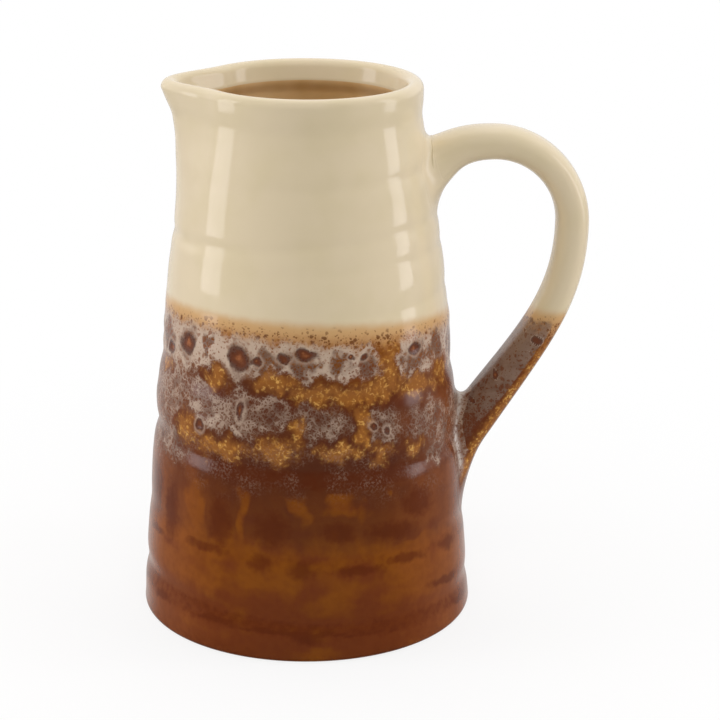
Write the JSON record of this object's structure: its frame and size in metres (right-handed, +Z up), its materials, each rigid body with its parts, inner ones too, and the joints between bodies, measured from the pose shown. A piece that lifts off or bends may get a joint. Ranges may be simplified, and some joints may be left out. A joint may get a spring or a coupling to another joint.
{
  "type": "stoneware jug",
  "caption": "Tapering thrown stoneware jug with throwing rings, a pulled pouring lip and a luted strap handle, for holding and pouring drinks.",
  "frame": {"origin": "centre of the flat base, on the surface the jug stands on", "axes": "+Z up the body's axis, +X towards the handle, -X towards the pouring lip"},
  "size_m": [0.1853, 0.14, 0.225],
  "materials": {
    "body_glaze": "gloss; cream glaze above, reactive brown glaze below, bare clay under the base",
    "handle_glaze": "gloss; cream glaze above, reactive grey-brown glaze below",
    "upper_joint_glaze": "gloss cream glaze",
    "lower_joint_glaze": "gloss reactive brown glaze with a pale pooled seam"
  },
  "bodies": {
    "root": {"jug_body": "body_glaze", "handle": "handle_glaze", "upper_handle_joint": "upper_joint_glaze", "lower_handle_joint": "lower_joint_glaze"}
  },
  "joints": []
}
